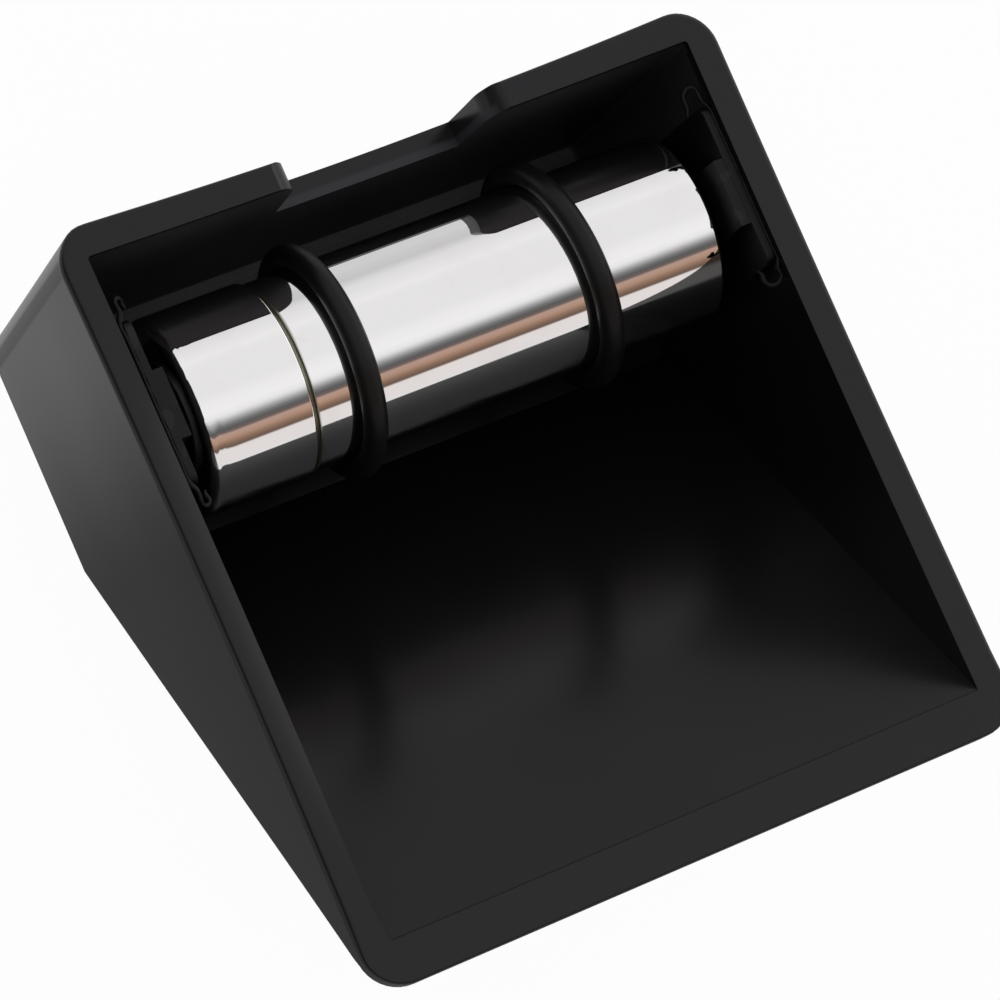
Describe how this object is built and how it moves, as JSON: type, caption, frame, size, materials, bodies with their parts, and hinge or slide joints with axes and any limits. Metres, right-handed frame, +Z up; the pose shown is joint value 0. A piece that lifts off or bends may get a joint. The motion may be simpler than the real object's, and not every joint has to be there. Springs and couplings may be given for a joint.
{
  "type": "edge tuning tool",
  "caption": "Hand-held ski and snowboard edge tuning tool: a wedge-shaped moulded tray with a chrome roller that carries rubber rings and turns across its deep end.",
  "frame": {"origin": "on the plane of the flat back, under the middle of the housing's bounding box", "axes": "+X along the roller to its right end, +Y from the thin lip to the deep end wall, +Z up from the flat back to the open rim"},
  "size_m": [0.05, 0.054, 0.0251],
  "materials": {
    "housing_plastic": "black semi-gloss injection-moulded plastic",
    "plate_plastic": "black satin plastic",
    "adhesive": "cured black adhesive, wet-looking",
    "axle_steel": "ground steel rod",
    "roller_chrome": "bright chrome plate on drawn steel",
    "bush_plastic": "black acetal",
    "ring_rubber": "smooth black rubber"
  },
  "bodies": {
    "tray": {"housing": "housing_plastic", "left_bearing_plate": "plate_plastic", "right_bearing_plate": "plate_plastic", "left_upper_adhesive": "adhesive", "left_lower_adhesive": "adhesive", "right_upper_adhesive": "adhesive", "right_lower_adhesive": "adhesive", "axle": "axle_steel"},
    "roller": {"roller_barrel": "roller_chrome", "roller_end_cap": "roller_chrome", "left_bush": "bush_plastic", "right_bush": "bush_plastic", "left_grip_ring": "ring_rubber", "right_grip_ring": "ring_rubber"}
  },
  "joints": [
    {"name": "roller_spin", "type": "hinge", "parent": "tray", "child": "roller", "pos_m": [0, 0.01425, 0.0156], "axis": [1, 0, 0], "continuous": true}
  ]
}
